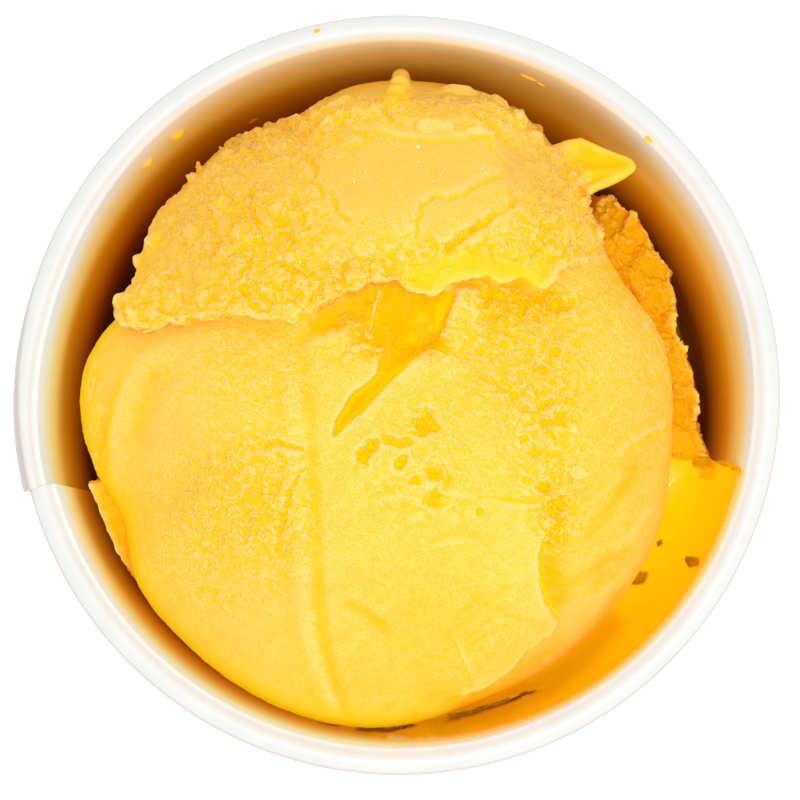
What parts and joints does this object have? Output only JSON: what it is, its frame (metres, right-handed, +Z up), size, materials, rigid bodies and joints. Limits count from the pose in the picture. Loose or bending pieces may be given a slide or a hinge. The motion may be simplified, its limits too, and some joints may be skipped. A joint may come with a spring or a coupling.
{
  "type": "cup of ice cream",
  "caption": "Small tapered paper cup with a rolled rim, filled with a scoop of yellow fruit ice cream that stands above the rim.",
  "frame": {"origin": "middle of the circle that the cup's foot stands on", "axes": "+Z up through the rim; -Y towards the person eating; the sleeve's glued seam is at -X, turned 15 degrees towards -Y"},
  "size_m": [0.0764, 0.076, 0.066],
  "materials": {
    "coated_paper": "satin",
    "plain_paper": "matte",
    "ice_cream": "matte, slightly frosted",
    "soft_ice_cream": "satin, melting"
  },
  "bodies": {
    "root": {"cup_wall": "coated_paper", "cup_base": "plain_paper", "ice_cream_scoop": "ice_cream", "ice_cream_base": "soft_ice_cream"}
  },
  "joints": []
}
